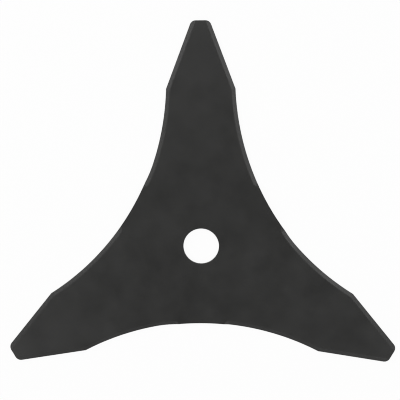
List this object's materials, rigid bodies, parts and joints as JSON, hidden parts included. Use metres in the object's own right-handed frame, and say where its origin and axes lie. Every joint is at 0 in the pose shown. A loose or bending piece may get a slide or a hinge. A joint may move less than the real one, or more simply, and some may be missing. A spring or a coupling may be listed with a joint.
{
  "type": "brush cutter blade",
  "caption": "Flat steel brush cutter blade with tapering arms, edges ground from both faces and a round arbor hole, in satin black paint.",
  "frame": {"origin": "on the arbor hole's axis, halfway through the plate", "axes": "+Z along the arbor hole's axis, out of the upper face; +Y from the hole along one arm to its tip"},
  "size_m": [0.2202, 0.1916, 0.002],
  "materials": {
    "black_painted_steel": "satin black paint over ground steel"
  },
  "bodies": {
    "root": {"blade": "black_painted_steel"}
  },
  "joints": []
}
